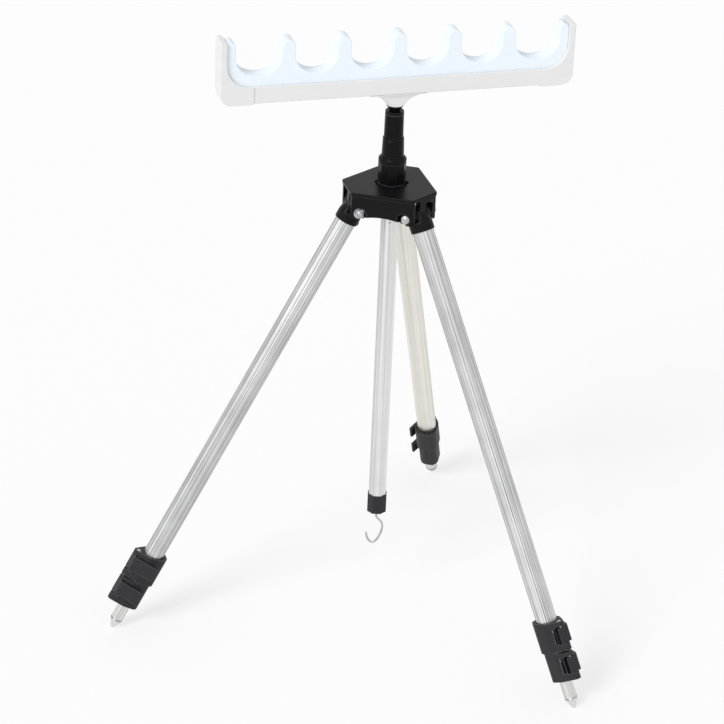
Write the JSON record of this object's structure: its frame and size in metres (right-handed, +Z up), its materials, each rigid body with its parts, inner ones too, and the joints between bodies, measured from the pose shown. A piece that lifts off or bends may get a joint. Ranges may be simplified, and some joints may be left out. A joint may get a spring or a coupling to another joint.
{
  "type": "rod tripod",
  "caption": "Folding tripod with telescopic legs, flip locks, a telescopic mast, a padded rod comb across its top and a weight hook below.",
  "frame": {"origin": "on the ground under the middle of the outer box", "axes": "+Z up along the mast, +X to the viewer's right and +Y away from the viewer, along the rear leg"},
  "size_m": [0.5222, 0.4554, 0.6708],
  "materials": {
    "black_plastic": "fine matte grain with a soft sheen",
    "aluminium": "satin, drawn along the tube",
    "steel": "bright zinc plating",
    "grey_plastic": "light grey, satin",
    "blue_foam": "pale blue closed-cell foam, matt"
  },
  "bodies": {
    "stand": {"hub_body": "black_plastic", "mast_collar": "black_plastic", "centre_tube": "aluminium", "centre_tube_cap": "black_plastic", "left_pivot_bolt": "steel", "left_pivot_nut": "steel", "right_pivot_bolt": "steel", "right_pivot_nut": "steel", "rear_pivot_bolt": "steel", "rear_pivot_nut": "steel"},
    "middle_mast": {"middle_mast_collar": "black_plastic", "middle_mast_tube": "aluminium"},
    "top_mast": {"top_mast_collar": "black_plastic", "top_mast_tube": "aluminium"},
    "comb": {"comb_screw_neck": "black_plastic", "comb_saddle": "grey_plastic", "comb_channel": "grey_plastic", "comb_left_end": "grey_plastic", "comb_right_end": "grey_plastic", "comb_pad": "blue_foam"},
    "hook": {"weight_hook": "steel"},
    "left_leg_upper": {"left_knuckle": "black_plastic", "left_upper_tube": "aluminium", "left_upper_lock": "black_plastic", "left_upper_lever_pin": "steel"},
    "left_leg_middle": {"left_middle_tube": "aluminium", "left_middle_bush": "black_plastic", "left_lower_lock": "black_plastic", "left_lower_lever_pin": "steel"},
    "left_leg_lower": {"left_lower_tube": "aluminium", "left_lower_bush": "black_plastic", "left_foot": "steel"},
    "left_lever_upper": {"left_upper_lever": "black_plastic"},
    "left_lever_lower": {"left_lower_lever": "black_plastic"},
    "right_leg_upper": {"right_knuckle": "black_plastic", "right_upper_tube": "aluminium", "right_upper_lock": "black_plastic", "right_upper_lever_pin": "steel"},
    "right_leg_middle": {"right_middle_tube": "aluminium", "right_middle_bush": "black_plastic", "right_lower_lock": "black_plastic", "right_lower_lever_pin": "steel"},
    "right_leg_lower": {"right_lower_tube": "aluminium", "right_lower_bush": "black_plastic", "right_foot": "steel"},
    "right_lever_upper": {"right_upper_lever": "black_plastic"},
    "right_lever_lower": {"right_lower_lever": "black_plastic"},
    "rear_leg_upper": {"rear_knuckle": "black_plastic", "rear_upper_tube": "aluminium", "rear_upper_lock": "black_plastic", "rear_upper_lever_pin": "steel"},
    "rear_leg_middle": {"rear_middle_tube": "aluminium", "rear_middle_bush": "black_plastic", "rear_lower_lock": "black_plastic", "rear_lower_lever_pin": "steel"},
    "rear_leg_lower": {"rear_lower_tube": "aluminium", "rear_lower_bush": "black_plastic", "rear_foot": "steel"},
    "rear_lever_upper": {"rear_upper_lever": "black_plastic"},
    "rear_lever_lower": {"rear_lower_lever": "black_plastic"}
  },
  "joints": [
    {"name": "left_leg_fold", "type": "hinge", "parent": "stand", "child": "left_leg_upper", "pos_m": [-0.03429, -0.09187, 0.48084], "axis": [0.5, -0.866, 0], "range_deg": [0, 28.15]},
    {"name": "left_middle_slide", "type": "slide", "parent": "left_leg_upper", "child": "left_leg_middle", "axis": [-0.4086, -0.2359, -0.8817], "range_m": [0, 0.438]},
    {"name": "left_lower_slide", "type": "slide", "parent": "left_leg_middle", "child": "left_leg_lower", "axis": [-0.4086, -0.2359, -0.8817], "range_m": [0, 0.441]},
    {"name": "left_upper_lever_open", "type": "hinge", "parent": "left_leg_upper", "child": "left_lever_upper", "pos_m": [-0.24336, -0.21258, 0.0661], "axis": [-0.4086, -0.2359, -0.8817], "range_deg": [0, 85]},
    {"name": "left_lower_lever_open", "type": "hinge", "parent": "left_leg_middle", "child": "left_lever_lower", "pos_m": [-0.25672, -0.22029, 0.03727], "axis": [-0.4086, -0.2359, -0.8817], "range_deg": [0, 85]},
    {"name": "right_leg_fold", "type": "hinge", "parent": "stand", "child": "right_leg_upper", "pos_m": [0.03326, -0.09187, 0.48084], "axis": [0.5, 0.866, 0], "range_deg": [0, 28.15]},
    {"name": "right_middle_slide", "type": "slide", "parent": "right_leg_upper", "child": "right_leg_middle", "axis": [0.4086, -0.2359, -0.8817], "range_m": [0, 0.438]},
    {"name": "right_lower_slide", "type": "slide", "parent": "right_leg_middle", "child": "right_leg_lower", "axis": [0.4086, -0.2359, -0.8817], "range_m": [0, 0.441]},
    {"name": "right_upper_lever_open", "type": "hinge", "parent": "right_leg_upper", "child": "right_lever_upper", "pos_m": [0.24234, -0.21258, 0.0661], "axis": [0.4086, -0.2359, -0.8817], "range_deg": [0, 85]},
    {"name": "right_lower_lever_open", "type": "hinge", "parent": "right_leg_middle", "child": "right_lever_lower", "pos_m": [0.2557, -0.22029, 0.03727], "axis": [0.4086, -0.2359, -0.8817], "range_deg": [0, 85]},
    {"name": "rear_leg_fold", "type": "hinge", "parent": "stand", "child": "rear_leg_upper", "pos_m": [-0.00051, -0.03337, 0.48084], "axis": [-1, 0, 0], "range_deg": [0, 28.15]},
    {"name": "rear_middle_slide", "type": "slide", "parent": "rear_leg_upper", "child": "rear_leg_middle", "axis": [0, 0.4718, -0.8817], "range_m": [0, 0.438]},
    {"name": "rear_lower_slide", "type": "slide", "parent": "rear_leg_middle", "child": "rear_leg_lower", "axis": [0, 0.4718, -0.8817], "range_m": [0, 0.441]},
    {"name": "rear_upper_lever_open", "type": "hinge", "parent": "rear_leg_upper", "child": "rear_lever_upper", "pos_m": [-0.00051, 0.20805, 0.0661], "axis": [0, 0.4718, -0.8817], "range_deg": [0, 85]},
    {"name": "rear_lower_lever_open", "type": "hinge", "parent": "rear_leg_middle", "child": "rear_lever_lower", "pos_m": [-0.00051, 0.22348, 0.03727], "axis": [0, 0.4718, -0.8817], "range_deg": [0, 85]},
    {"name": "middle_mast_rise", "type": "slide", "parent": "stand", "child": "middle_mast", "axis": [0, 0, 1], "range_m": [0, 0.32]},
    {"name": "top_mast_rise", "type": "slide", "parent": "middle_mast", "child": "top_mast", "axis": [0, 0, 1], "range_m": [0, 0.31]},
    {"name": "comb_turn", "type": "hinge", "parent": "top_mast", "child": "comb", "pos_m": [-0.00051, -0.07237, 0.6], "axis": [0, 0, 1], "continuous": true},
    {"name": "hook_turn", "type": "hinge", "parent": "stand", "child": "hook", "pos_m": [-0.00051, -0.07237, 0.113], "axis": [0, 0, 1], "continuous": true}
  ]
}
